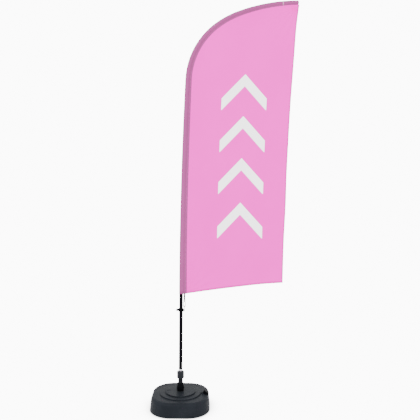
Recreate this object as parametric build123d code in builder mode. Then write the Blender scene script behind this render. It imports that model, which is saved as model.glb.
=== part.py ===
from build123d import *
import math
import os

os.makedirs("parts", exist_ok=True)

# Overall sizes
base_width = 450  # across the water tank's flats at the floor
base_corner = 168  # plan radius of the tank's corners
rim_height = 103  # where the tank's side turns into its top
crown_height = 110
hub_height = 118  # top of the raised ring that carries the socket
hub_radius = 115
crown_radius = 158
tank_wall = 4
rim_round = 24
step_round = 4
side_draft = 6

# Clearances
running = 0.05  # radial, on shafts and threads that turn
slip = 0.3  # on parts that are pushed together by hand

# Pole: a straight run from the floor, then bends of a stated radius and angle
straight_top = 902
bends = [(35452, 2.581), (555, 53.141), (701, 13.711), (1314, 20.808)]
pole_radius = 14
pole_bore = pole_radius - 2
middle_radius = pole_bore - 2
middle_bore = middle_radius - 2
rod_radius = 5
tip_rod_radius = 3
lower_end = straight_top + 198  # arc lengths along the axis, from the floor
middle_end = straight_top + 1538
rod_end = straight_top + 2178

# Flag
hem_start = straight_top - 44  # arc length of the sleeve's lower mouth
sleeve_end = straight_top + 2750
sleeve_reach = pole_radius + 1.3  # from the axis to the outer edge of the sleeve
band_width = 2 * sleeve_reach + 19.4  # sleeve width seen from the front, at the hem
tip_band_width = 2 * sleeve_reach + 2.4
sleeve_wall = 0.8
cloth = 0.4
seam_gap = 0.3
# outline points: distance from the straight pole, and height above its first bend
free_edge = [
    (776, 45), (784, 374), (797, 680), (803, 909), (816, 1215),
    (840, 1598), (858, 1843), (872, 2026), (889, 2172),
]
hem_line = [(251, -12), (435, 12), (618, 33)]

# Feet and foot bolt
foot_height = 3
foot_radius = 16
foot_inset = 90  # from the tank's flats to a foot's centre
foot_spacing = base_width - 2 * foot_inset
stud_radius = 4.2
stud_length = 2.4
bolt_radius = 4
bolt_flats = 6.5  # half the width across the flats of head and nut
bolt_recess = 11
recess_top = 9
bolt_washer = 1.6
floor_top = 13  # top of the well's floor
tube_floor = floor_top + 6

# Socket and clamp knob
tube_radius = 18
tube_bore = 12.2
well_radius = 24
gasket_thickness = 2
collar_foot = hub_height + gasket_thickness + 0.1
collar_top = hub_height + 62
grip_base = hub_height + 16
grip_height = 20
flange_base = hub_height + 128
flange_top = flange_base + 4
flange_radius = 17
washer_top = flange_top + 2
knob_base = flange_base - 32
knob_top = flange_base + 23
knob_radius = 27.5
knob_lobe = 9
knob_round = 8
knob_eye = pole_bore + 1  # hole in the knob's roof, round the rotor

# Rotor on its two 10 x 19 x 5 ball bearings
rotor_radius = pole_bore - running
rotor_bore = 9.5
rotor_base = washer_top + 2
rotor_top = rotor_base + 266
seat_base = rotor_base + 24
pole_start = seat_base + 6  # underside of the pole, above the floor
axle_radius = 5
spacer_radius = 6.2
inner_land = 6.4
outer_land = 8.1
ball_radius = 1.2
ball_circle = 7.25
ball_count = 9
bearing_width = 5
lower_bearing = rotor_base + 2
upper_bearing = rotor_top - 24
groove_base = upper_bearing + bearing_width + 0.2
groove_top = groove_base + 1.4
groove_radius = 4.6
spindle_foot = 40
spindle_top = groove_top + 5.4
circlip_thickness = 1.2

# Filler
cap_tilt = 34
cap_centre = (base_width / 2 - 36, -16, rim_height - 2)
cap_radius = 22
cap_height = 19
cap_gap = 0.4  # between the cap's mouth and the tank
neck_radius = 17
neck_bore = 13
neck_length = 12
seal_thickness = 1.5

# Tension fitting
collar_height = straight_top - 167
collar_radius = pole_radius + 5
collar_half = 12
liner_radius = pole_radius + 1.3
screw_radius = 3
thumb_radius = 8
thumb_start = pole_radius + 13.4  # from the axis to the thumb knob
hook_x = pole_radius + 12
hook_low = collar_height + 22
hook_high = hook_low + 44
hook_width = 18
hook_wire = 4.4
hook_depth = 5.4
cheek_gap = 3.3
pin_radius = 0.8
swivel_radius = 2.1
strap_width = 12
strap_fold = 4.8  # thickness of the doubled webbing
strap_top = hem_start - 0.5
strap_low = hook_high + 4.4


def bend_starts():
    starts = [straight_top]
    for radius, angle in bends:
        starts.append(starts[-1] + radius * math.radians(angle))
    return starts


def pole_frame(s):
    # x, z and lean in radians of the axis at arc length s
    if s <= straight_top:
        return 0.0, float(s), 0.0
    x, z, lean, left = 0.0, float(straight_top), 0.0, s - straight_top
    for radius, angle in bends:
        step = min(left / radius, math.radians(angle))
        x = x + radius * (math.cos(lean) - math.cos(lean + step))
        z = z + radius * (math.sin(lean + step) - math.sin(lean))
        lean = lean + step
        left = left - step * radius
        if left < 1e-6:
            break
    return x, z, lean


def pole_point(s, outward=0):
    x, z, lean = pole_frame(s)
    return (x - outward * math.cos(lean), 0, z + outward * math.sin(lean))


def pole_plane(s):
    # local x points away from the flag, local z runs up the pole
    lean = pole_frame(s)[2]
    outward = (-math.cos(lean), 0, math.sin(lean))
    return Plane(origin=pole_point(s), x_dir=outward, z_dir=(math.sin(lean), 0, math.cos(lean)))


def pole_line(start, end):
    stops = [start] + [b for b in bend_starts() if start + 1 < b < end - 1] + [end]
    with BuildLine() as axis:
        for low, high in zip(stops, stops[1:]):
            if high <= straight_top + 1:
                Line(pole_point(low), pole_point(high))
            else:
                ThreePointArc(pole_point(low), pole_point((low + high) / 2), pole_point(high))
    return axis.wire()


def swept_rod(start, end, outer, inner=0):
    with BuildPart() as rod:
        with BuildSketch(pole_plane(start)):
            Circle(outer)
            if inner > 0:
                Circle(inner, mode=Mode.SUBTRACT)
        sweep(path=pole_line(start, end))
    return rod.part


def ring(low, high, outer, inner):
    with BuildPart() as band:
        with BuildSketch(Plane.XY.offset(low)):
            Circle(outer)
            Circle(inner, mode=Mode.SUBTRACT)
        extrude(amount=high - low)
    return band.part


def save(part, label):
    part.label = label
    export_step(part, f"parts/{label}.step")


def tank_form(inset):
    # the tank's outside, or its cavity when inset by the wall
    low = foot_height + inset
    with BuildPart() as form:
        with BuildSketch(Plane.XY.offset(low)):
            RectangleRounded(base_width - 2 * inset, base_width - 2 * inset, base_corner - inset)
        extrude(amount=rim_height - inset - low, taper=side_draft)
        fillet(form.faces().sort_by(Axis.Z)[-1].edges(), rim_round - inset)
        # two round steps lead up to the socket
        for top, radius in ((crown_height, crown_radius), (hub_height, hub_radius)):
            with BuildSketch(Plane.XY.offset(rim_height - inset - 2)):
                Circle(radius - inset)
            extrude(amount=top - rim_height + 2)
            fillet(form.faces().sort_by(Axis.Z)[-1].edges(), step_round)
    return form.part


cap_lean = math.radians(cap_tilt)
cap_plane = Plane(origin=cap_centre, x_dir=(0, 1, 0), z_dir=(math.sin(cap_lean), 0, math.cos(cap_lean)))

with BuildPart() as tank_shell:
    add(tank_form(0))
    add(tank_form(tank_wall), mode=Mode.SUBTRACT)
    # central well
    with BuildSketch(Plane.XY.offset(foot_height + 1)):
        Circle(well_radius + 7)
    extrude(amount=hub_height - foot_height - 2)
    with BuildSketch(Plane.XY.offset(floor_top)):
        Circle(well_radius)
    extrude(amount=hub_height, mode=Mode.SUBTRACT)
    with BuildSketch(Plane.XY):
        Circle(bolt_radius + slip)
    extrude(amount=floor_top + 1, mode=Mode.SUBTRACT)
    with BuildSketch(Plane.XY):
        Circle(bolt_recess)
    extrude(amount=recess_top, mode=Mode.SUBTRACT)
    # filler boss, the recess around its neck, and the bore
    with BuildSketch(cap_plane.offset(-16)):
        Circle(cap_radius + 5)
    extrude(amount=16)
    with BuildSketch(cap_plane):
        Circle(cap_radius + 3)
    extrude(amount=40, mode=Mode.SUBTRACT)
    with BuildSketch(cap_plane.offset(-1)):
        Circle(neck_radius)
    extrude(amount=neck_length + 1)
    with BuildSketch(cap_plane.offset(-60)):
        Circle(neck_bore)
    extrude(amount=80, mode=Mode.SUBTRACT)
    # moulded recess on the hub
    with BuildSketch(Plane.XY.offset(hub_height - 2)):
        with Locations((-88, 4)):
            SlotOverall(34, 9, rotation=12)
    extrude(amount=4, mode=Mode.SUBTRACT)
    # sockets for the feet
    with BuildSketch(Plane.XY):
        with GridLocations(foot_spacing, foot_spacing, 2, 2):
            Circle(stud_radius)
    extrude(amount=foot_height + stud_length + 0.2, mode=Mode.SUBTRACT)
save(tank_shell.part, "tank_shell")

with BuildPart() as base_feet:
    with BuildSketch(Plane.XY):
        with GridLocations(foot_spacing, foot_spacing, 2, 2):
            Circle(foot_radius)
    extrude(amount=foot_height)
    with BuildSketch(Plane.XY.offset(foot_height - 0.5)):
        with GridLocations(foot_spacing, foot_spacing, 2, 2):
            Circle(stud_radius - running)
    extrude(amount=stud_length + 0.5)
save(base_feet.part, "base_feet")

# rubber plug over the foot bolt, flush with the feet
with BuildPart() as centre_foot:
    with BuildSketch(Plane.XY):
        Circle(foot_radius + 1)
    extrude(amount=foot_height)
    with BuildSketch(Plane.XY.offset(foot_height - 0.5)):
        Circle(bolt_recess - 0.1)
    extrude(amount=0.9)
save(centre_foot.part, "centre_foot")

with BuildPart() as filler_seal:
    with BuildSketch(cap_plane.offset(neck_length + running)):
        Circle(neck_radius - 0.4)
        Circle(neck_bore, mode=Mode.SUBTRACT)
    extrude(amount=seal_thickness)
save(filler_seal.part, "filler_seal")

with BuildPart() as filler_cap:
    with BuildSketch(cap_plane.offset(cap_gap)):
        Circle(cap_radius)
    extrude(amount=cap_height + 3)
    fillet(filler_cap.faces().sort_by(Axis(cap_centre, cap_plane.z_dir))[-1].edges(), 2.5)
    with BuildSketch(cap_plane.offset(cap_gap)):
        Circle(neck_radius + running)
    extrude(amount=neck_length + seal_thickness + 2 * running - cap_gap, mode=Mode.SUBTRACT)
    with BuildSketch(cap_plane.offset(cap_gap)):
        with PolarLocations(cap_radius + 0.6, 20):
            Circle(1.4)
    extrude(amount=cap_height, mode=Mode.SUBTRACT)
save(filler_cap.part, "filler_cap")

# socket collar: a bulged nose that screws into the well
collar_skirt = well_radius + 1
collar_lip = tube_radius + 2.5
with BuildPart() as socket_collar:
    with BuildSketch(Plane.XZ):
        with BuildLine():
            Polyline(
                (tube_radius + slip, collar_foot - 60), (well_radius - running, collar_foot - 60),
                (well_radius - running, collar_foot), (collar_skirt, collar_foot),
                (collar_skirt, collar_foot + 3),
            )
            Spline(
                (collar_skirt, collar_foot + 3), (collar_skirt + 2.4, hub_height + 16),
                (collar_skirt + 2.6, hub_height + 32), (collar_skirt - 0.8, hub_height + 48),
                (collar_lip + 1, collar_top - 2),
            )
            Polyline(
                (collar_lip + 1, collar_top - 2), (collar_lip, collar_top),
                (tube_radius + slip, collar_top), (tube_radius + slip, collar_foot - 60),
            )
        make_face()
    revolve(axis=Axis.Z)
    with BuildSketch(Plane.XY.offset(grip_base)):
        with PolarLocations(collar_skirt, 8):
            RectangleRounded(7, 5, 1)
    extrude(amount=grip_height)
    with BuildSketch(Plane.XY.offset(collar_foot)):
        Circle(tube_radius + slip)
    extrude(amount=collar_top, mode=Mode.SUBTRACT)
save(socket_collar.part, "socket_collar")

save(ring(hub_height, hub_height + gasket_thickness, well_radius + 3, well_radius + 0.4), "collar_gasket")

with BuildPart() as socket_tube:
    with BuildSketch(Plane.XY.offset(floor_top)):
        Circle(tube_radius)
    extrude(amount=flange_base - floor_top)
    with BuildSketch(Plane.XY.offset(tube_floor)):
        Circle(tube_bore)
    extrude(amount=flange_base, mode=Mode.SUBTRACT)
    with BuildSketch(Plane.XY):
        Circle(bolt_radius + slip)
    extrude(amount=tube_floor + 1, mode=Mode.SUBTRACT)
save(socket_tube.part, "socket_tube")

# foot bolt, its washer and nut
head_base = foot_height + 0.5
washer_base = recess_top - bolt_washer
with BuildPart() as foot_bolt:
    with BuildSketch(Plane.XY.offset(head_base)):
        RegularPolygon(bolt_flats, 6, major_radius=False)
    extrude(amount=washer_base - head_base)
    with BuildSketch(Plane.XY.offset(washer_base - 0.4)):
        Circle(bolt_radius)
    extrude(amount=tube_floor + 9.4 - washer_base)
save(foot_bolt.part, "foot_bolt")
save(ring(washer_base, recess_top, 9, bolt_radius + 0.2), "foot_washer")
with BuildPart() as foot_nut:
    with BuildSketch(Plane.XY.offset(tube_floor)):
        RegularPolygon(bolt_flats, 6, major_radius=False)
        Circle(bolt_radius + running, mode=Mode.SUBTRACT)
    extrude(amount=bolt_flats)
save(foot_nut.part, "foot_nut")

# spindle: shank in the tube, flange on the tube's mouth, slim axle above
with BuildPart() as spindle:
    with BuildSketch(Plane.XZ):
        with BuildLine():
            Polyline(
                (0, spindle_foot), (tube_bore - 0.2, spindle_foot), (tube_bore - 0.2, flange_base),
                (flange_radius, flange_base), (flange_radius, flange_top), (spacer_radius, flange_top),
                (spacer_radius, lower_bearing), (axle_radius, lower_bearing), (axle_radius, groove_base),
                (groove_radius, groove_base), (groove_radius, groove_top), (axle_radius, groove_top),
                (axle_radius, spindle_top), (0, spindle_top), (0, spindle_foot),
            )
        make_face()
    revolve(axis=Axis.Z)
save(spindle.part, "spindle")

save(ring(flange_top, washer_top, tube_radius - 0.4, knob_eye - 0.2), "thrust_washer")

with BuildPart() as clamp_knob:
    with BuildSketch(Plane.XY.offset(knob_base)):
        Circle(knob_radius - 2)
        with PolarLocations(knob_radius - knob_lobe, 6):
            Circle(knob_lobe)
    extrude(amount=knob_top - knob_base)
    fillet(clamp_knob.faces().sort_by(Axis.Z)[-1].edges(), knob_round)
    fillet(clamp_knob.faces().sort_by(Axis.Z)[0].edges(), knob_round / 2)
    with BuildSketch(Plane.XY.offset(knob_base)):
        Circle(tube_radius + running)
    extrude(amount=washer_top + running - knob_base, mode=Mode.SUBTRACT)
    with BuildSketch(Plane.XY.offset(knob_base)):
        Circle(knob_eye)
    extrude(amount=knob_top, mode=Mode.SUBTRACT)
save(clamp_knob.part, "clamp_knob")

# two ball bearings, lower and upper, share the same drawings
bearing_starts = [lower_bearing, upper_bearing]

with BuildPart() as inner_races:
    for start in bearing_starts:
        add(ring(start, start + bearing_width, inner_land, axle_radius))
        with Locations((0, 0, start + bearing_width / 2)):
            Torus(ball_circle, ball_radius + running, mode=Mode.SUBTRACT)
save(inner_races.part, "inner_races")

with BuildPart() as outer_races:
    for start in bearing_starts:
        add(ring(start, start + bearing_width, rotor_bore, outer_land))
        with Locations((0, 0, start + bearing_width / 2)):
            Torus(ball_circle, ball_radius + running, mode=Mode.SUBTRACT)
save(outer_races.part, "outer_races")

with BuildPart() as bearing_balls:
    for start in bearing_starts:
        with Locations((0, 0, start + bearing_width / 2)):
            with PolarLocations(ball_circle, ball_count):
                Sphere(ball_radius)
save(bearing_balls.part, "bearing_balls")

with BuildPart() as bearing_cages:
    for start in bearing_starts:
        add(ring(start + 0.7, start + bearing_width - 0.7, 7.6, 6.9))
        with Locations((0, 0, start + bearing_width / 2)):
            with PolarLocations(ball_circle, ball_count):
                Cylinder(ball_radius + running, 3, rotation=(0, 90, 0), mode=Mode.SUBTRACT)
save(bearing_cages.part, "bearing_cages")

spacer_base = lower_bearing + bearing_width
save(ring(spacer_base, upper_bearing, spacer_radius, axle_radius), "bearing_spacer")

with BuildPart() as circlip:
    with BuildSketch(Plane.XY.offset(groove_base + 0.1)):
        Circle(axle_radius + 2)
        Circle(groove_radius + running, mode=Mode.SUBTRACT)
        with Locations((axle_radius + 1, 0)):
            Rectangle(8, axle_radius, mode=Mode.SUBTRACT)
    extrude(amount=circlip_thickness)
save(circlip.part, "circlip")

# rotor: the bright spigot the pole slips over, with the collar the pole stands on
with BuildPart() as rotor:
    with BuildSketch(Plane.XY.offset(rotor_base)):
        Circle(rotor_radius)
    extrude(amount=rotor_top - rotor_base)
    with BuildSketch(Plane.XY.offset(seat_base)):
        Circle(pole_radius - 0.5)
    extrude(amount=pole_start - seat_base)
    with BuildSketch(Plane.XY.offset(rotor_base)):
        Circle(rotor_bore)
    extrude(amount=rotor_top, mode=Mode.SUBTRACT)
save(rotor.part, "rotor")

with BuildPart() as rotor_plug:
    with BuildSketch(Plane.XY.offset(rotor_top - 6)):
        Circle(rotor_bore)
    extrude(amount=6)
    with BuildSketch(Plane.XY.offset(rotor_top)):
        Circle(rotor_radius)
    extrude(amount=5, taper=20)
save(rotor_plug.part, "rotor_plug")

# pole sections and the joints between them
save(swept_rod(pole_start, lower_end, pole_radius, pole_bore), "lower_pole")
save(swept_rod(lower_end - 90, lower_end, pole_bore, middle_radius), "lower_ferrule")
save(swept_rod(lower_end, lower_end + 14, pole_radius, middle_radius), "ferrule_collar")
save(swept_rod(lower_end - 80, middle_end, middle_radius, middle_bore), "middle_pole")
save(swept_rod(middle_end - 70, middle_end, middle_bore, rod_radius), "upper_ferrule")
save(swept_rod(middle_end, middle_end + 12, middle_radius, rod_radius), "reducer_collar")
save(swept_rod(middle_end - 60, rod_end, rod_radius), "upper_rod")
with BuildPart() as tip_ferrule:
    add(swept_rod(rod_end - 40, rod_end + 45, rod_radius + 1.6))
    add(swept_rod(rod_end - 41, rod_end, rod_radius), mode=Mode.SUBTRACT)
    add(swept_rod(rod_end, rod_end + 46, tip_rod_radius), mode=Mode.SUBTRACT)
save(tip_ferrule.part, "tip_ferrule")
save(swept_rod(rod_end, sleeve_end - 16, tip_rod_radius), "tip_rod")
with BuildPart() as tip_cap:
    add(swept_rod(sleeve_end - 32, sleeve_end - 9, tip_rod_radius + 2))
    add(swept_rod(sleeve_end - 34, sleeve_end - 16, tip_rod_radius), mode=Mode.SUBTRACT)
save(tip_cap.part, "tip_cap")


def half_thickness(s):
    # the sleeve is round over the pole and flatter over the thin tip
    along = (s - hem_start) / (sleeve_end - hem_start)
    return sleeve_reach - 6.5 * along ** 3


def seam_reach(s):
    # from the axis to the seam, on the flag's side
    along = (s - hem_start) / (sleeve_end - hem_start)
    return band_width - sleeve_reach - (band_width - tip_band_width) * along ** 2


def sleeve_section(s, inset):
    # an oval over the pole, drawn in to the seam by two flat sides
    side = half_thickness(s) - inset
    reach = sleeve_reach - inset
    seam = seam_reach(s) - inset * 3
    tip = max(0.6 - inset / 2, 0.1)
    turn = 180 - math.degrees(math.acos(reach / seam)) if seam > reach else 150
    with BuildSketch(pole_plane(s)) as section:
        with BuildLine():
            oval = EllipticalCenterArc((0, 0), reach, side, -turn, arc_size=2 * turn)
            Line(oval @ 1, (-seam, tip))
            Line((-seam, tip), (-seam, -tip))
            Line((-seam, -tip), oval @ 0)
        make_face()
    return section.sketch


def sleeve_solid(start, end, inset):
    # the sleeve's stations lie close together over the sharp bend
    stations = [start]
    while stations[-1] < end - 1:
        gap = 330 if stations[-1] < straight_top + 1200 else 60
        stations.append(min(stations[-1] + gap, end))
    with BuildPart() as body:
        loft(sections=[sleeve_section(s, inset).face() for s in stations])
    return body.part


with BuildPart() as pole_sleeve:
    add(sleeve_solid(hem_start, sleeve_end, 0))
    add(sleeve_solid(hem_start, sleeve_end - 4, sleeve_wall), mode=Mode.SUBTRACT)
save(pole_sleeve.part, "pole_sleeve")

with BuildPart() as tip_pocket:
    add(sleeve_solid(sleeve_end - 110, sleeve_end - 4.2, sleeve_wall + 0.1))
    add(sleeve_solid(sleeve_end - 110, sleeve_end - 7, sleeve_wall * 2), mode=Mode.SUBTRACT)
save(tip_pocket.part, "tip_pocket")

seam_points = []
for step in range(41):
    s = hem_start + (sleeve_end - hem_start) * step / 40
    x, y, z = pole_point(s, -seam_reach(s) - seam_gap)
    seam_points.append((x, z))
edge_points = [(x, straight_top + rise) for x, rise in free_edge]
hem_points = [(x, straight_top + rise) for x, rise in hem_line]
with BuildPart() as flag_panel:
    with BuildSketch(Plane.XZ):
        with BuildLine():
            Spline(*seam_points)
            Line(seam_points[-1], edge_points[-1])
            Spline(*edge_points)
            Polyline(edge_points[0], *reversed(hem_points), seam_points[0])
        make_face()
    extrude(amount=cloth / 2, both=True)
save(flag_panel.part, "flag_panel")

# tension fitting: strap, hook and sliding collar
with BuildPart() as tension_strap:
    # a webbing loop: down, through the swivel's eye and up again
    with BuildSketch(Plane.YZ.offset(hook_x - strap_width / 2)):
        with Locations((0, (strap_top + strap_low) / 2)):
            Rectangle(strap_fold, strap_top - strap_low)
        with Locations((0, (strap_top + strap_low) / 2 + strap_fold / 4)):
            Rectangle(strap_fold / 2, strap_top - strap_low, mode=Mode.SUBTRACT)
    extrude(amount=strap_width)
save(tension_strap.part, "tension_strap")

with BuildPart() as tension_collar:
    with BuildSketch(Plane.XY.offset(collar_height - collar_half)):
        Circle(collar_radius)
    extrude(amount=2 * collar_half)
    fillet(tension_collar.edges().filter_by(GeomType.CIRCLE), 2)
    with Locations((-pole_radius - 6, 0, collar_height)):
        Box(14, 13, 15)
    with BuildSketch(Plane.YZ.offset(hook_x - 2)):
        with Locations((0, collar_height + 10)):
            SlotOverall(44, 13, rotation=90)
        with Locations((0, hook_low + hook_wire / 2 + 0.6)):
            Circle(4.4, mode=Mode.SUBTRACT)
    extrude(amount=4)
    with Locations((hook_x - 6, 0, collar_height - 2)):
        Box(8, 9, 14)
    with BuildSketch(Plane.XY):
        Circle(liner_radius)
    extrude(amount=hook_high, mode=Mode.SUBTRACT)
    with BuildSketch(Plane.YZ.offset(-60)):
        with Locations((0, collar_height)):
            Circle(screw_radius + running)
    extrude(amount=60, mode=Mode.SUBTRACT)
save(tension_collar.part, "tension_collar")

with BuildPart() as collar_liner:
    liner_base = collar_height - collar_half
    add(ring(liner_base, liner_base + 2 * collar_half, liner_radius, pole_radius + running))
    with BuildSketch(Plane.YZ.offset(-60)):
        with Locations((0, collar_height)):
            Circle(screw_radius + 0.2)
    extrude(amount=60, mode=Mode.SUBTRACT)
save(collar_liner.part, "collar_liner")

with BuildPart() as clamp_plunger:
    with BuildSketch(Plane.YZ.offset(-pole_radius - 0.1)):
        with Locations((0, collar_height)):
            Circle(screw_radius)
    extrude(amount=-16)
save(clamp_plunger.part, "clamp_plunger")

with BuildPart() as thumb_knob:
    with BuildSketch(Plane.YZ.offset(-thumb_start)):
        with Locations((0, collar_height)):
            Circle(thumb_radius)
            with PolarLocations(thumb_radius - 0.8, 8):
                Circle(2)
    extrude(amount=-9)
    fillet(thumb_knob.faces().sort_by(Axis.X)[0].edges(), 1)
    with BuildSketch(Plane.YZ.offset(0.4 - thumb_start)):
        with Locations((0, collar_height)):
            Circle(screw_radius + running)
    extrude(amount=-6.5, mode=Mode.SUBTRACT)
save(thumb_knob.part, "thumb_knob")

gate_low = hook_low + 12
gate_high = hook_high - 11
gate_x = hook_x - hook_width / 2 + hook_wire / 2
pin_height = gate_low + 2.5
hook_middle = (hook_low + hook_high) / 2
hook_length = hook_high - hook_low
with BuildPart() as snap_hook:
    with BuildSketch(Plane.XZ.offset(-hook_depth / 2)):
        with Locations((hook_x, hook_middle)):
            SlotOverall(hook_length, hook_width, rotation=90)
            SlotOverall(
                hook_length - 2 * hook_wire, hook_width - 2 * hook_wire, rotation=90, mode=Mode.SUBTRACT
            )
        with Locations((gate_x, (gate_low + 6 + gate_high) / 2)):
            Rectangle(hook_wire + 1, gate_high - gate_low - 6, mode=Mode.SUBTRACT)
        with Locations((gate_x, pin_height)):
            Circle(pin_radius, mode=Mode.SUBTRACT)
    extrude(amount=hook_depth)
    # slot between the two cheeks that hold the gate
    with BuildSketch(Plane.XZ.offset(-cheek_gap / 2)):
        with Locations((gate_x, gate_low + 3.1)):
            Rectangle(hook_wire + 1, 6.2)
    extrude(amount=cheek_gap, mode=Mode.SUBTRACT)
    with BuildSketch(Plane.XY.offset(hook_high - hook_wire - 1)):
        with Locations((hook_x, 0)):
            Circle(swivel_radius + running)
    extrude(amount=hook_wire + 3, mode=Mode.SUBTRACT)
save(snap_hook.part, "snap_hook")

with BuildPart() as hook_gate:
    with BuildSketch(Plane.XZ.offset(-1.5)):
        with Locations((gate_x, (gate_low + gate_high) / 2)):
            RectangleRounded(3.4, gate_high - gate_low - 0.5, 1.2)
        with Locations((gate_x, pin_height)):
            Circle(pin_radius + running, mode=Mode.SUBTRACT)
    extrude(amount=3)
save(hook_gate.part, "hook_gate")

with BuildPart() as gate_pin:
    with BuildSketch(Plane.XZ.offset(-hook_depth / 2 - 0.4)):
        with Locations((gate_x, pin_height)):
            Circle(pin_radius)
    extrude(amount=hook_depth + 0.8)
save(gate_pin.part, "gate_pin")

with BuildPart() as swivel_eye:
    with BuildSketch(Plane.XY.offset(hook_high - hook_wire - 3.3)):
        with Locations((hook_x, 0)):
            Circle(swivel_radius + 1.1)
    extrude(amount=1.6)
    with BuildSketch(Plane.XY.offset(hook_high - hook_wire - 2.2)):
        with Locations((hook_x, 0)):
            Circle(swivel_radius)
    extrude(amount=hook_wire + 4.2)
    with BuildSketch(Plane.XZ.offset(-1)):
        with Locations((hook_x, hook_high + 6.4)):
            SlotOverall(strap_width + 6, 10)
            SlotOverall(strap_width + 2, 6, mode=Mode.SUBTRACT)
    extrude(amount=2)
save(swivel_eye.part, "swivel_eye")
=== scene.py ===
import bpy
import math
import numpy as np
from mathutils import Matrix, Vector


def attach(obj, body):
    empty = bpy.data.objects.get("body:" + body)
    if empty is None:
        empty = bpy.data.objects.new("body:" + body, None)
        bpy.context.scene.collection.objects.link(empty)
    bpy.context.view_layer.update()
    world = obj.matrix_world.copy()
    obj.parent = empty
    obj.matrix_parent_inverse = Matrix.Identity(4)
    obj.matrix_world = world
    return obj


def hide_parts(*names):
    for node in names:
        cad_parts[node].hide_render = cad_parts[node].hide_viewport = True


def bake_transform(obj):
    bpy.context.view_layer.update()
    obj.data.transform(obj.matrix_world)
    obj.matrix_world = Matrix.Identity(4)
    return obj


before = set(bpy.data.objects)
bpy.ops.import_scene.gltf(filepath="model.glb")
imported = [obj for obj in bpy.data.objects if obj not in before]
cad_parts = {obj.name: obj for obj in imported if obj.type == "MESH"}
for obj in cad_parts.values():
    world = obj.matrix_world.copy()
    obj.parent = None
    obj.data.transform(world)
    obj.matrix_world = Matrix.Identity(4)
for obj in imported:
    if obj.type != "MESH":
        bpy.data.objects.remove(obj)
print("frame loaded")


def writeBox():
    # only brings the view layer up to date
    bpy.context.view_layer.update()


writeBox()

# pole line: a straight run, then bends of a radius and an angle
straightTop = 0.902
bendRadii = [35.452, 0.555, 0.701, 1.314]
bendAngles = [2.581, 53.141, 13.711, 20.808]


def poleFrame(s):
    # x, z and lean at arc length s: straight to the first bend, then each bend adds its own arc
    s = np.asarray(s, float)
    x, z, lean = np.zeros_like(s), np.minimum(s, straightTop), np.zeros_like(s)
    start = straightTop
    for radius, angle in zip(bendRadii, bendAngles):
        full = math.radians(angle)
        step = np.clip((s - start) / radius, 0, full)
        x = x + radius * (np.cos(lean) - np.cos(lean + step))
        z = z + radius * (np.sin(lean + step) - np.sin(lean))
        lean = lean + step
        start += radius * full
    return x, z, lean


def wobble(a, b, seed, waves=5, roughness=0.6):
    # a sum of sine waves in two directions with seeded phases, from -1 to 1
    rng = np.random.default_rng(seed)
    total, weight = np.zeros(np.broadcast(a, b).shape), 0.0
    for k in range(waves):
        angle, phase = rng.uniform(0, 2 * np.pi, 2)
        amp = roughness ** k
        freq = 1.7 ** k
        total = total + amp * np.sin(freq * (a * math.cos(angle) + b * math.sin(angle)) + phase)
        weight += amp
    return total / weight


def smooth(x, low, high):
    # 0 below low, 1 above high, with an eased run between
    t = np.clip((x - low) / (high - low), 0, 1)
    return t * t * (3 - 2 * t)


def gridObject(name, points, wrap=False, uv=None, fields=None, flip=False):
    # a grid of rows and columns joined into quads; wrap joins the last column to the first
    rows, cols = points.shape[:2]
    r = np.arange(rows - 1)[:, None]
    c = np.arange(cols if wrap else cols - 1)[None, :]
    n = (c + 1) % cols
    quads = np.stack([r * cols + c, r * cols + n, (r + 1) * cols + n, (r + 1) * cols + c], -1).reshape(-1, 4)
    if flip:
        quads = quads[:, ::-1]
    mesh = bpy.data.meshes.new(name)
    mesh.from_pydata(points.reshape(-1, 3), [], quads)
    if uv is not None:
        layer = mesh.uv_layers.new(name="UVMap")
        layer.data.foreach_set("uv", uv.reshape(-1, 2)[quads.reshape(-1)].astype(np.float32).reshape(-1))
    for key, values in (fields or {}).items():
        field = mesh.attributes.new(key, "FLOAT", "POINT")
        field.data.foreach_set("value", values.reshape(-1).astype(np.float32))
    mesh.polygons.foreach_set("use_smooth", np.ones(len(mesh.polygons), bool))
    mesh.update()
    obj = bpy.data.objects.new(name, mesh)
    bpy.context.scene.collection.objects.link(obj)
    return obj


# materials
def srgb(r, g, b):
    # display values from 0 to 255 as linear light
    v = np.array([r, g, b]) / 255
    return tuple(np.where(v <= 0.04045, v / 12.92, ((v + 0.055) / 1.055) ** 2.4)) + (1.0,)


class Nodes:
    def __init__(self, tree):
        self.tree = tree

    def add(self, kind, values=None, **props):
        node = self.tree.nodes.new(kind)
        for key, value in props.items():
            setattr(node, key, value)
        for key, value in (values or {}).items():
            self.put(node.inputs[key], value)
        return node

    def put(self, socket, value):
        if isinstance(value, bpy.types.NodeSocket):
            self.tree.links.new(value, socket)
        else:
            socket.default_value = value

    def math(self, op, a, b=0.0, c=0.0, clamp=False):
        node = self.add("ShaderNodeMath", operation=op, use_clamp=clamp)
        self.put(node.inputs[0], a)
        self.put(node.inputs[1], b)
        self.put(node.inputs[2], c)
        return node.outputs[0]

    def mix(self, factor, a, b, mode="MIX"):
        node = self.add("ShaderNodeMix", data_type="RGBA", blend_type=mode)
        self.put(node.inputs["Factor"], factor)
        self.put(node.inputs[6], a)
        self.put(node.inputs[7], b)
        return node.outputs[2]

    def ramp(self, value, low, high, outLow=0.0, outHigh=1.0):
        node = self.add("ShaderNodeMapRange", interpolation_type="SMOOTHSTEP")
        keys = ["Value", "From Min", "From Max", "To Min", "To Max"]
        for key, v in zip(keys, [value, low, high, outLow, outHigh]):
            self.put(node.inputs[key], v)
        return node.outputs[0]

    def noise(self, coords, scale, detail=3.0, rough=0.55, distortion=0.0):
        node = self.add("ShaderNodeTexNoise", {
            "Vector": coords, "Scale": scale, "Detail": detail, "Roughness": rough, "Distortion": distortion,
        })
        return node.outputs[0]

    def attribute(self, name):
        return self.add("ShaderNodeAttribute", attribute_name=name).outputs["Fac"]


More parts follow.
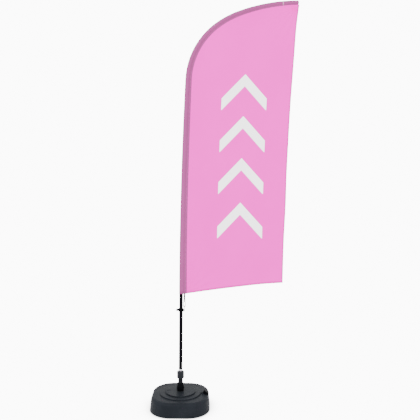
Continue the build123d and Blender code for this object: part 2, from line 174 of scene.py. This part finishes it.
def newMaterial(name):
    material = bpy.data.materials.new(name)
    material.use_nodes = True
    tree = material.node_tree
    tree.nodes.clear()
    n = Nodes(tree)
    shader = n.add("ShaderNodeBsdfPrincipled")
    out = n.add("ShaderNodeOutputMaterial")
    tree.links.new(shader.outputs[0], out.inputs[0])
    coords = n.add("ShaderNodeTexCoord").outputs["Object"]
    return material, n, shader, coords, out


# shared effects: fine scuffs and handling marks, given as a roughness change and a bump height
def makeWearGroup():
    group = bpy.data.node_groups.new("wear", "ShaderNodeTree")
    group.interface.new_socket("Vector", in_out="INPUT", socket_type="NodeSocketVector")
    group.interface.new_socket("Scale", in_out="INPUT", socket_type="NodeSocketFloat")
    group.interface.new_socket("Patch", in_out="OUTPUT", socket_type="NodeSocketFloat")
    group.interface.new_socket("Grain", in_out="OUTPUT", socket_type="NodeSocketFloat")
    n = Nodes(group)
    given = n.add("NodeGroupInput")
    made = n.add("NodeGroupOutput")
    patchScale = n.math("MULTIPLY", given.outputs["Scale"], 9.0)
    grainScale = n.math("MULTIPLY", given.outputs["Scale"], 900.0)
    n.put(made.inputs["Patch"], n.noise(given.outputs["Vector"], patchScale, 5.0, 0.6))
    n.put(made.inputs["Grain"], n.noise(given.outputs["Vector"], grainScale, 2.0, 0.5))
    return group


wearGroup = makeWearGroup()


def wear(n, coords, scale=1.0):
    node = n.add("ShaderNodeGroup")
    node.node_tree = wearGroup
    n.put(node.inputs["Vector"], coords)
    node.inputs["Scale"].default_value = scale
    return node.outputs["Patch"], node.outputs["Grain"]


def plasticMaterial(name, colour, roughness, grain=0.15, scale=1.0, variation=0.12, shine=0.2):
    # moulded plastic: colour drifts a little, grain raises a fine texture
    material, n, shader, coords, out = newMaterial(name)
    patch, fine = wear(n, coords, scale)
    dark = tuple(c * (1 - variation) for c in colour[:3]) + (1.0,)
    light = tuple(min(c * (1 + variation), 1) for c in colour[:3]) + (1.0,)
    n.put(shader.inputs["Base Color"], n.mix(n.ramp(patch, 0.35, 0.65), dark, light))
    n.put(shader.inputs["Roughness"], n.ramp(patch, 0.3, 0.7, roughness - 0.06, roughness + 0.06))
    shader.inputs["Specular IOR Level"].default_value = shine
    shader.inputs["Specular Tint"].default_value = (0.5, 0.52, 0.56, 1)
    bump = n.add("ShaderNodeBump", {"Strength": grain, "Distance": 0.0004, "Height": fine})
    n.put(shader.inputs["Normal"], bump.outputs[0])
    return material


def metalMaterial(name, colour, roughness, brush=0.0, scale=1.0):
    # bare metal: smudges change the roughness, brush draws fine rings round the vertical axis
    material, n, shader, coords, out = newMaterial(name)
    patch, fine = wear(n, coords, scale)
    smudged = tuple(c * 0.9 for c in colour[:3]) + (1.0,)
    n.put(shader.inputs["Base Color"], n.mix(n.ramp(patch, 0.3, 0.7), smudged, colour))
    shader.inputs["Metallic"].default_value = 1.0
    n.put(shader.inputs["Roughness"], n.ramp(patch, 0.3, 0.7, roughness * 0.75, roughness * 1.3))
    stretch = n.add("ShaderNodeMapping", {"Vector": coords, "Scale": (40.0, 40.0, 3000.0)})
    lines = n.noise(stretch.outputs[0], 1.0, 2.0)
    height = n.mix(brush, n.math("MULTIPLY", fine, 0.3), lines)
    bump = n.add("ShaderNodeBump", {"Strength": 0.12, "Distance": 0.0002, "Height": height})
    n.put(shader.inputs["Normal"], bump.outputs[0])
    return material


print("helpers ready")

# base, knob, pole and fittings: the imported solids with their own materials
looks = {
    "tank": plasticMaterial("tankPlastic", (0.0085, 0.0098, 0.0122, 1), 0.45, 0.35, shine=0.03),
    "knob": plasticMaterial("knobPlastic", (0.0100, 0.0113, 0.0135, 1), 0.36, 0.2, 2.0, shine=0.06),
    "tube": plasticMaterial("tubePlastic", (0.0065, 0.0073, 0.0086, 1), 0.38, 0.15, 2.0, shine=0.05),
    "black": plasticMaterial("blackPlastic", (0.0018, 0.0019, 0.0024, 1), 0.40, 0.2, 2.0, shine=0.02),
    "rubber": plasticMaterial("darkRubber", (0.0040, 0.0040, 0.0045, 1), 0.75, 0.4, 2.0, shine=0.08),
    "pole": plasticMaterial("poleCoating", (0.0022, 0.0023, 0.0027, 1), 0.30, 0.08, 2.0, shine=0.03),
    "chrome": metalMaterial("brightSteel", srgb(190, 192, 196), 0.12),
    "steel": metalMaterial("turnedSteel", srgb(150, 152, 156), 0.3, 1.0),
    "alloy": metalMaterial("ferruleAlloy", srgb(156, 158, 162), 0.35, 1.0),
    "hook": plasticMaterial("hookPaint", (0.0022, 0.0022, 0.0026, 1), 0.28, 0.1, 3.0, shine=0.05),
}
nodeLooks = {
    "tank": ["tank_shell"],
    "knob": ["clamp_knob"],
    "tube": ["socket_tube"],
    "black": ["socket_collar", "filler_cap", "rotor_plug", "tension_collar", "thumb_knob"],
    "rubber": ["base_feet", "centre_foot", "filler_seal", "collar_gasket", "collar_liner", "tip_cap"],
    "pole": ["lower_pole", "middle_pole", "upper_rod", "tip_rod"],
    "chrome": ["rotor", "bearing_balls", "hook_gate", "swivel_eye"],
    "steel": [
        "foot_bolt", "foot_washer", "foot_nut", "spindle", "thrust_washer", "inner_races",
        "outer_races", "bearing_cages", "circlip", "gate_pin", "clamp_plunger",
    ],
    "alloy": [
        "bearing_spacer", "lower_ferrule", "ferrule_collar", "upper_ferrule", "reducer_collar",
        "tip_ferrule",
    ],
    "hook": ["snap_hook"],
}
for look, names in nodeLooks.items():
    for nodeName in names:
        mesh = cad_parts[nodeName].data
        mesh.materials.clear()
        mesh.materials.append(looks[look])
print("packed solids coloured")

# sleeve: the cloth tube over the pole
sleeve = {
    "hem": 0.858,
    "end": 3.652,
    "reach": 0.0153,
    "band": 0.050,
    "tipBand": 0.033,
    "tipThin": 0.0065,
    "rows": 620,
    "around": 44,
    "fabric": 0.0005,
    "wrinkle": 0.0011,
    "puckerAt": 2.78,  # the arc length at the middle of the bend
    "puckerReach": 0.27,
    "puckerRate": 150,
    "hemFold": 0.020,
    "hemRaise": 0.0005,
    "tipShare": (0.35, 0.15),  # of the oval's depth and width, left at the closed tip
    "seamFlat": (0.115, 2.80),
    "area": 0.30,
    # painted shade: the sleeve is the panel's pink painted much darker all over, with faint patches of tone
    "shadedPink": (0.230, 0.045, 0.152, 1),
    "shadedPinkPatch": (0.212, 0.041, 0.139, 1),
    # painted shade: the sleeve's folded hem is painted darker
    "hemPaintedShade": (0.14, 0.03, 0.09, 1),
    # painted light: the sleeve's seam side is painted paler
    "seamSidePaintedLight": (0.30, 0.07, 0.20, 1),
    "stitchShade": (0.1, 0.02, 0.07, 1),
    "tackAt": 3.53,
    "tackShade": (0.6, 0.42, 0.52, 1),
}


def sleeveAlong(s):
    return (s - sleeve["hem"]) / (sleeve["end"] - sleeve["hem"])


def seamReach(s):
    # from the pole's axis to the seam, less towards the tip
    return sleeve["band"] - sleeve["reach"] - (sleeve["band"] - sleeve["tipBand"]) * sleeveAlong(s) ** 2


def sleeveRing(s, turn, inset=0.0):
    # outward and sideways offsets: an oval over the pole drawn in towards the seam by a power of the turn
    side = sleeve["reach"] - sleeve["tipThin"] * np.clip(sleeveAlong(s), 0, 1) ** 3 - inset
    reach = sleeve["reach"] - inset
    seam = seamReach(s) - inset
    c, w = np.cos(turn), np.sin(turn)
    out = np.where(c > 0, reach * c, seam * c)
    closing = np.where(c > 0, 1.0, 1 - 0.93 * smooth(-c, 0.25, 1.0))
    return out, side * w * closing


def sleeveSurface(s, turn, inset=0.0):
    # the ring at each arc length, raised by creases, by puckers inside the bend and by the folded hem
    out, side = sleeveRing(s, turn, inset)
    bend = np.exp(-((s - sleeve["puckerAt"]) / sleeve["puckerReach"]) ** 2)
    inner = smooth(-np.cos(turn), -0.4, 0.7)
    pucker = np.sin(s * sleeve["puckerRate"] + 1.8 * np.sin(s * 31)) * inner * bend
    crease = wobble(s * 26, turn * 2.0, 4) + 0.6 * wobble(s * 90, turn * 3.0, 9)
    lift = sleeve["wrinkle"] * (crease * 0.8 + 1.6 * pucker) * np.abs(np.sin(turn)) ** 0.5
    if inset == 0:
        foldTop = sleeve["hem"] + sleeve["hemFold"]
        lift = lift + smooth(s, foldTop + 0.001, foldTop - 0.001) * sleeve["hemRaise"]
    side = side + lift * np.sign(np.sin(turn))
    fade = smooth(s, sleeve["end"] + 0.0001, sleeve["end"] - 0.006)
    depthLeft, widthLeft = sleeve["tipShare"]
    out, side = out * (depthLeft + (1 - depthLeft) * fade), side * (widthLeft + (1 - widthLeft) * fade)
    x, z, lean = poleFrame(s)
    return np.stack([x - out * np.cos(lean), side + 0 * x, z + out * np.sin(lean)], -1)


def shrunkRing(ring, share):
    # the same ring drawn in towards its middle
    middle = ring.mean(1, keepdims=True)
    return middle + (ring - middle) * share


def makeSleeve():
    # the cloth has two faces: up the inside from the closed tip to the mouth, then up the outside
    rows, around = sleeve["rows"], sleeve["around"]
    turn = np.linspace(0, 2 * np.pi, around, endpoint=False)[None, :]
    up = np.linspace(sleeve["hem"], sleeve["end"], rows)[:, None]
    down = np.linspace(sleeve["end"] - 0.004, sleeve["hem"], rows)[:, None]
    inside, outside = sleeveSurface(down, turn, sleeve["fabric"]), sleeveSurface(up, turn)
    innerTip, innerHalf = shrunkRing(inside[:1], 0.01), shrunkRing(inside[:1], 0.5)
    outerTip, outerHalf = shrunkRing(outside[-1:], 0.01), shrunkRing(outside[-1:], 0.5)
    points = np.concatenate([innerTip, innerHalf, inside, outside, outerHalf, outerTip], 0)
    ends = np.full((2, 1), sleeve["end"])
    s = np.broadcast_to(np.concatenate([ends, down, up, ends], 0), points.shape[:2])
    uv = np.stack([np.broadcast_to(turn / (2 * np.pi), points.shape[:2]), s], -1)
    seamSide = np.broadcast_to(smooth(-np.cos(turn), 0.82, 0.97), points.shape[:2])
    return gridObject("poleSleeve", points, wrap=True, uv=uv, fields={"seam": seamSide, "along": s})


def clothMaterial(name, colour, shade):
    # knitted polyester: threads are two crossed waves multiplied, faint patches shift the colour
    material, n, shader, coords, out = newMaterial(name)
    patch = n.noise(coords, 3.0, 4.0)
    yarn = {"Vector": coords, "Scale": 420.0, "Distortion": 1.5}
    thread = n.add("ShaderNodeTexWave", yarn, bands_direction="Z")
    weft = n.add("ShaderNodeTexWave", yarn, bands_direction="X")
    knit = n.math("MULTIPLY", thread.outputs["Fac"], weft.outputs["Fac"])
    base = n.mix(n.ramp(patch, 0.3, 0.7), shade, colour)
    return material, n, shader, coords, out, base, knit


panel = {
    "columns": 160,
    "rows": 440,
    "free": [
        (0.776, 0.947), (0.784, 1.276), (0.797, 1.582), (0.803, 1.811), (0.816, 2.117),
        (0.840, 2.500), (0.858, 2.745), (0.872, 2.928), (0.889, 3.074),
    ],
    "hem": [(0.0347, 0.858), (0.251, 0.890), (0.435, 0.914), (0.618, 0.935), (0.776, 0.947)],
    "rowShare": [0, 0.57, 0.8, 1],  # a row this far up the sleeve
    "freeShare": [0.0, 0.70, 0.88, 1.0],  # meets the free edge this far up
    "wave": 0.006,
    "billow": 0.010,
    "pull": 0.0022,
    "pucker": 0.0012,
    "flutter": 0.004,
    "hemCorner": (0.03, 0.86),
    "tipCorner": (0.88, 3.07),
    "flat": (0.84, 2.25),
    "area": 1.62,
    "allowance": 0.008,  # the sleeve's seam allowance, flat on the panel
    "pink": (0.80, 0.010, 0.46, 1),
    "pinkShade": (0.77, 0.009, 0.44, 1),
    "white": (0.985, 0.98, 0.98, 1),
    # painted shade: the panel's folded hems are painted darker
    "hemPaintedShade": (0.5, 0.025, 0.28, 1),
    # painted shade: the seam allowance takes the sleeve's darker painted pink
    "allowancePaintedShade": (0.235, 0.046, 0.155, 1),
    "stitchShade": (0.3, 0.02, 0.18, 1),
}
graphic = {
    "centre": 0.442,  # from the pole's line
    "heights": [1.440, 1.780, 2.100, 2.420],
    "half": 0.172,
    "rise": 0.185,
    "stroke": 0.063,
    "drop": 0.02,
}


def curveThrough(points, t):
    # a smooth curve through points: cubic pieces with slopes from the neighbours
    p = np.array(points, float)
    knots = np.concatenate([[0], np.cumsum(np.linalg.norm(np.diff(p, axis=0), axis=1))])
    knots = knots / knots[-1]
    slope = np.gradient(p, knots, axis=0)
    k = np.clip(np.searchsorted(knots, t, side="right") - 1, 0, len(p) - 2)
    h = (knots[k + 1] - knots[k])[:, None]
    u = ((t - knots[k]) / h[:, 0])[:, None]
    return ((2 * u**3 - 3 * u**2 + 1) * p[k] + (u**3 - 2 * u**2 + u) * h * slope[k]
            + (3 * u**2 - 2 * u**3) * p[k + 1] + (u**3 - u**2) * h * slope[k + 1])


def rowLevels(v):
    # how far up the free edge each row ends: straight runs between levels, rounded by a running mean
    steps, reach = np.linspace(0, 1, 60), 6
    level = np.interp(v, panel["rowShare"], panel["freeShare"])
    padded = np.pad(np.interp(steps, v, level), reach, "edge")
    window = 2 * reach + 1
    level = np.interp(v, steps, np.convolve(padded, np.ones(window) / window, "valid"))
    return (level - level[0]) / (level[-1] - level[0])


def cornerPull(x, z, corner, folds, reach):
    # creases that fan out of a corner: a sine of the angle, fading with the distance
    distance = np.hypot(x - corner[0], z - corner[1])
    angle = np.arctan2(z - corner[1], x - corner[0])
    return panel["pull"] * np.exp(-distance / reach) * np.sin(angle * folds) * smooth(distance, 0.0, 0.05)


def chevronField(x, z):
    # distance inside the nearest chevron: a bent band, cut off level with its sides
    a = x - poleFrame(z)[0] - graphic["centre"]
    slope = graphic["rise"] / graphic["half"]
    inside = np.full(x.shape, -1.0)
    for height in graphic["heights"]:
        bent = graphic["rise"] * (0.5 - np.abs(a) / graphic["half"])
        line = (z - height + graphic["drop"] - bent) / math.hypot(1, slope)
        mark = np.minimum(graphic["stroke"] / 2 - np.abs(line), graphic["half"] - np.abs(a))
        inside = np.maximum(inside, mark)
    return inside


def makePanel():
    # rows run from the seam to the free edge; y adds the billow, ripples, corner pulls and puckers
    rows, cols = panel["rows"], panel["columns"]
    v = np.linspace(0, 1, rows)
    u = np.linspace(0, 1, cols)
    s = sleeve["hem"] + (sleeve["end"] - sleeve["hem"] - 0.004) * v
    x, z, lean = poleFrame(s)
    reach = seamReach(s) - 0.002
    left = np.stack([x + reach * np.cos(lean), z - reach * np.sin(lean)], -1)
    right = curveThrough(panel["free"], rowLevels(v))
    flatGrid = left[:, None, :] * (1 - u)[None, :, None] + right[:, None, :] * u[None, :, None]
    # the lowest rows follow the hem's own curve
    hem = curveThrough(panel["hem"], u)
    sag = (hem - flatGrid[0])[None] * (smooth(v, 0.16, 0.0) * (1 - v))[:, None, None]
    flatGrid = flatGrid + sag
    gx, gz = flatGrid[..., 0], flatGrid[..., 1]
    across = u[None, :]
    loose = across ** 1.2 * (1.15 - across * 0.1)
    billow = panel["billow"] * np.sin(np.pi * across) * wobble(gx * 2.2, gz * 2.0, 12, 3)
    ripple = panel["wave"] * loose * wobble(gx * 5.0 + gz * 1.5, gz * 3.2, 21, 4, 0.5)
    pulls = cornerPull(gx, gz, panel["hemCorner"], 22, 0.22)
    pulls = pulls + cornerPull(gx, gz, panel["tipCorner"], 26, 0.25)
    seamPucker = panel["pucker"] * np.exp(-across / 0.02) * np.sin(s * 190 + np.sin(s * 23))[:, None]
    edgeFlutter = panel["flutter"] * smooth(across, 0.9, 1.0) * wobble(gz * 14, gz * 0, 31, 3)
    y = (billow + ripple) * smooth(across, 0.0, 0.12) + pulls + seamPucker + edgeFlutter
    points = np.stack([gx, y, gz], -1)
    # distances from the edges, for the hems and stitches
    rowLength = np.linalg.norm(right - left, axis=1)[:, None]
    climb = np.linalg.norm(np.diff(flatGrid, axis=0, prepend=flatGrid[:1]), axis=2)
    fields = {
        "print": chevronField(gx, gz),
        "freeEdge": (1 - across) * rowLength,
        "bottomEdge": np.cumsum(climb, axis=0),
        "seamEdge": across * rowLength,
    }
    return gridObject("flagPanel", points, uv=np.stack([gx, gz], -1), fields=fields)


def stitchLine(n, distance, at, along, width=0.0008, pitch=0.004):
    # dashes where the distance from an edge equals a set value and the way along repeats
    near = n.ramp(n.math("ABSOLUTE", n.math("SUBTRACT", distance, at)), width, width * 0.5)
    dash = n.math("GREATER_THAN", n.math("FRACT", n.math("DIVIDE", along, pitch)), 0.35)
    return n.math("MULTIPLY", near, dash)


def finishCloth(material, n, shader, out, colour, knit, extra, through=0.25):
    # threads and folds raise the surface, and a share of the light passes through
    height = n.math("ADD", n.math("MULTIPLY", knit, 0.4), extra)
    bump = n.add("ShaderNodeBump", {"Strength": 0.35, "Distance": 0.0006, "Height": height})
    n.put(shader.inputs["Base Color"], colour)
    shader.inputs["Roughness"].default_value = 0.72
    shader.inputs["Specular Tint"].default_value = (0.25, 0.06, 0.18, 1)
    n.put(shader.inputs["Normal"], bump.outputs[0])
    glow = n.add("ShaderNodeBsdfTranslucent", {"Color": colour, "Normal": bump.outputs[0]})
    both = n.add("ShaderNodeMixShader")
    both.inputs[0].default_value = through
    material.node_tree.links.new(shader.outputs[0], both.inputs[1])
    material.node_tree.links.new(glow.outputs[0], both.inputs[2])
    material.node_tree.links.new(both.outputs[0], out.inputs[0])
    return material


def panelMaterial():
    # pink cloth, white where the chevron field is above zero, folded hems darkened with painted shade, and
    # the seam allowance in the sleeve's painted-shade pink
    parts = clothMaterial("panelCloth", panel["pink"], panel["pinkShade"])
    material, n, shader, coords, out, base, knit = parts
    xyz = n.add("ShaderNodeSeparateXYZ", {"Vector": coords})
    mark = n.ramp(n.attribute("print"), -0.0012, 0.0012)
    colour = n.mix(mark, base, panel["white"])
    free, bottom, seam = n.attribute("freeEdge"), n.attribute("bottomEdge"), n.attribute("seamEdge")
    # painted shade: the folded hems along the free edge and the bottom are painted darker
    hemFold = n.math("MAXIMUM", n.ramp(free, 0.0115, 0.0105), n.ramp(bottom, 0.0155, 0.0145))
    colour = n.mix(n.math("MULTIPLY", hemFold, 0.55), colour, panel["hemPaintedShade"])
    sideStitch = stitchLine(n, free, 0.009, xyz.outputs["Z"])
    hemStitch = stitchLine(n, bottom, 0.012, xyz.outputs["X"])
    stitches = n.math("MAXIMUM", sideStitch, hemStitch)
    edge = panel["allowance"]
    # painted shade: the seam allowance is painted in the sleeve's darker pink
    colour = n.mix(n.ramp(seam, edge + 0.0005, edge - 0.0005), colour, panel["allowancePaintedShade"])
    stitches = n.math("MAXIMUM", stitches, stitchLine(n, seam, 0.006, xyz.outputs["Z"]))
    colour = n.mix(n.math("MULTIPLY", stitches, 0.7), colour, panel["stitchShade"])
    height = n.math("ADD", n.math("MULTIPLY", hemFold, 0.8), n.math("MULTIPLY", stitches, -1.2))
    return finishCloth(material, n, shader, out, colour, knit, height)


def sleeveMaterial():
    # pink cloth painted darker all over as painted shade, with painted shade along the folded hem, a painted
    # lighter seam side and one short bar tack near the tip
    parts = clothMaterial("sleeveCloth", sleeve["shadedPink"], sleeve["shadedPinkPatch"])
    material, n, shader, coords, out, base, knit = parts
    along = n.attribute("along")
    foldTop = sleeve["hem"] + sleeve["hemFold"]
    rim = n.ramp(along, foldTop + 0.0005, foldTop - 0.0005)
    # painted shade: a darker line is painted along the sleeve's folded hem
    colour = n.mix(n.math("MULTIPLY", rim, 0.4), base, sleeve["hemPaintedShade"])
    # painted light: the seam side of the sleeve is painted paler
    colour = n.mix(n.math("MULTIPLY", n.attribute("seam"), 0.7), colour, sleeve["seamSidePaintedLight"])
    fromTack = n.math("ABSOLUTE", n.math("SUBTRACT", along, sleeve["tackAt"]))
    tack = n.ramp(fromTack, 0.0035, 0.0025)
    dash = n.math("GREATER_THAN", n.math("FRACT", n.math("MULTIPLY", along, 900.0)), 0.4)
    tackMask = n.math("MULTIPLY", n.math("MULTIPLY", tack, dash), 0.8)
    colour = n.mix(tackMask, colour, sleeve["tackShade"])
    around = n.add("ShaderNodeUVMap", uv_map="UVMap").outputs[0]
    stitches = stitchLine(n, along, foldTop - 0.003, around, 0.0006, 0.03)
    colour = n.mix(n.math("MULTIPLY", stitches, 0.6), colour, sleeve["stitchShade"])
    return finishCloth(material, n, shader, out, colour, knit, n.math("MULTIPLY", rim, 0.6), 0.06)


sleeveObject = makeSleeve()
sleeveObject.data.materials.append(sleeveMaterial())
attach(sleeveObject, "pole")
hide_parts("pole_sleeve", "tip_pocket")
panelObject = makePanel()
panelObject.data.materials.append(panelMaterial())
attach(panelObject, "pole")
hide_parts("flag_panel")
print("flag and sleeve made")

# tension strap: webbing folded through the swivel's eye, drawn at one fixed length; the real strap stretches
# when the collar slides
strap = {
    "x": 0.026,
    "width": 0.012,
    "top": 0.8625,
    "low": 0.8055,
    "gap": 0.0018,
    "thick": 0.0012,
    "hemHeld": 0.855,
    "eyeHeld": 0.812,
    "dark": (0.002, 0.002, 0.0025, 1),
    "pale": (0.007, 0.007, 0.008, 1),
}


def makeStrap():
    # the path runs down the front, round the eye's bar and up the back; the section is a flat band
    t = np.linspace(0, 1, 90)
    half = strap["gap"]
    bendLow = strap["low"] + half
    run = strap["top"] - bendLow
    total = 2 * run + np.pi * half
    d = t * total
    down, up = d < run, d > run + np.pi * half
    angle = np.clip((d - run) / half, 0, np.pi)
    y = np.where(down, -half, np.where(up, half, -half * np.cos(angle)))
    risen = bendLow + d - run - np.pi * half
    z = np.where(down, strap["top"] - d, np.where(up, risen, bendLow - half * np.sin(angle)))
    ny = np.where(down, -1.0, np.where(up, 1.0, -np.cos(angle)))
    nz = np.where(down | up, 0.0, -np.sin(angle))
    squeeze = 1 - 0.12 * smooth(np.abs(z - strap["low"]), 0.01, 0.0)
    w, k = strap["width"] / 2, strap["thick"] / 2
    section = np.array([(-w, k), (w, k), (w, -k), (-w, -k)])
    pts = np.stack([
        strap["x"] + section[None, :, 0] * squeeze[:, None],
        y[:, None] + ny[:, None] * section[None, :, 1],
        z[:, None] + nz[:, None] * section[None, :, 1],
    ], -1)
    pts = np.concatenate([shrunkRing(pts[:1], 0), pts, shrunkRing(pts[-1:], 0)], 0)
    return gridObject("tensionStrap", pts, wrap=True)


def webbingMaterial():
    # woven ribs: one wave up the strap drives both colour and bump
    material, n, shader, coords, out = newMaterial("strapWebbing")
    weave = {"Vector": coords, "Scale": 160.0, "Distortion": 0.6}
    ribs = n.add("ShaderNodeTexWave", weave, bands_direction="Z")
    colour = n.mix(n.math("MULTIPLY", ribs.outputs["Fac"], 0.5), strap["dark"], strap["pale"])
    bump = n.add("ShaderNodeBump", {"Strength": 0.5, "Distance": 0.0004, "Height": ribs.outputs["Fac"]})
    n.put(shader.inputs["Base Color"], colour)
    shader.inputs["Roughness"].default_value = 0.8
    shader.inputs["Specular IOR Level"].default_value = 0.02
    n.put(shader.inputs["Normal"], bump.outputs[0])
    return material


strapObject = makeStrap()
strapObject.data.materials.append(webbingMaterial())
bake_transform(strapObject)
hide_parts("tension_strap")
print("strap made")

# floor, light and camera
studio = {
    "world": 2.5,
    "backdrop": 11.0,
    "contact": 0.16,
    "contactReach": 0.22,
    "floorHalf": 40,
    "target": 0.3,
    "key": {"place": (-2.6, -3.6, 4.2), "aim": 1.4, "size": 2.4, "power": 330},
    "fill": {"place": (3.2, -3.0, 2.4), "aim": 1.2, "size": 2.6, "power": 130},
}


def whiteForCamera(tree, n, shaded, seen, out):
    # the camera sees the given emission, an even white for the sky and a white with a painted contact shadow
    # for the floor; everything else meets the shaded surface
    path = n.add("ShaderNodeLightPath")
    both = n.add("ShaderNodeMixShader")
    tree.links.new(path.outputs["Is Camera Ray"], both.inputs[0])
    tree.links.new(shaded, both.inputs[1])
    tree.links.new(seen, both.inputs[2])
    tree.links.new(both.outputs[0], out.inputs[0])


sides = np.array([-studio["floorHalf"], studio["floorHalf"]], float)
corners = np.stack(list(np.meshgrid(sides, sides)) + [np.full((2, 2), -0.0005)], -1)
floorObject = gridObject("floor", corners)
floorMaterial, fn, floorShader, floorCoords, floorOut = newMaterial("studioFloor")
paper = fn.mix(fn.noise(floorCoords, 2.0), (0.86, 0.86, 0.86, 1), (0.9, 0.9, 0.9, 1))
fn.put(floorShader.inputs["Base Color"], paper)
floorShader.inputs["Roughness"].default_value = 0.9
# painted contact shadow: the floor's camera-seen white is darkened by ambient occlusion near the base
shade = fn.add("ShaderNodeAmbientOcclusion", {"Distance": studio["contactReach"]}, samples=24)
contactShade = fn.ramp(shade.outputs["AO"], 0.35, 0.97, studio["contact"], 1.0)
seenStrength = fn.math("MULTIPLY", contactShade, studio["backdrop"])
seenFloor = fn.add("ShaderNodeEmission", {"Strength": seenStrength})
whiteForCamera(floorMaterial.node_tree, fn, floorShader.outputs[0], seenFloor.outputs[0], floorOut)
floorObject.data.materials.append(floorMaterial)

world = bpy.data.worlds.new("studio")
world.use_nodes = True
world.node_tree.nodes.clear()
wn = Nodes(world.node_tree)
lit = wn.add("ShaderNodeBackground", {"Strength": studio["world"]})
seenSky = wn.add("ShaderNodeBackground", {"Strength": studio["backdrop"]})
lit.inputs[0].default_value = seenSky.inputs[0].default_value = (1, 1, 1, 1)
worldOut = wn.add("ShaderNodeOutputWorld")
whiteForCamera(world.node_tree, wn, lit.outputs[0], seenSky.outputs[0], worldOut)
bpy.context.scene.world = world


def areaLight(name, place, aim, size, power):
    # a square light at a place, turned to a height on the flag's line
    data = bpy.data.lights.new(name, "AREA")
    data.shape = "SQUARE"
    data.size = size
    data.energy = power
    light = bpy.data.objects.new(name, data)
    light.location = place
    light.rotation_mode = "QUATERNION"
    toward = Vector((studio["target"], 0, aim)) - Vector(place)
    light.rotation_quaternion = toward.to_track_quat("-Z", "Y")
    bpy.context.scene.collection.objects.link(light)


areaLight("keyLight", **studio["key"])
areaLight("fillLight", **studio["fill"])

view = {"place": (0.2165, -3.52, 1.50), "roll": 0.4, "lens": 39.43, "sensor": 36.0}
cameraData = bpy.data.cameras.new("camera")
cameraData.sensor_width = view["sensor"]
cameraData.lens = view["lens"]
camera = bpy.data.objects.new("camera", cameraData)
bpy.context.scene.collection.objects.link(camera)
camera.location = view["place"]
camera.rotation_mode = "XYZ"
camera.rotation_euler = (math.radians(90), -math.radians(view["roll"]), 0)
bpy.context.scene.camera = camera
print("camera and light set")

writeBox()
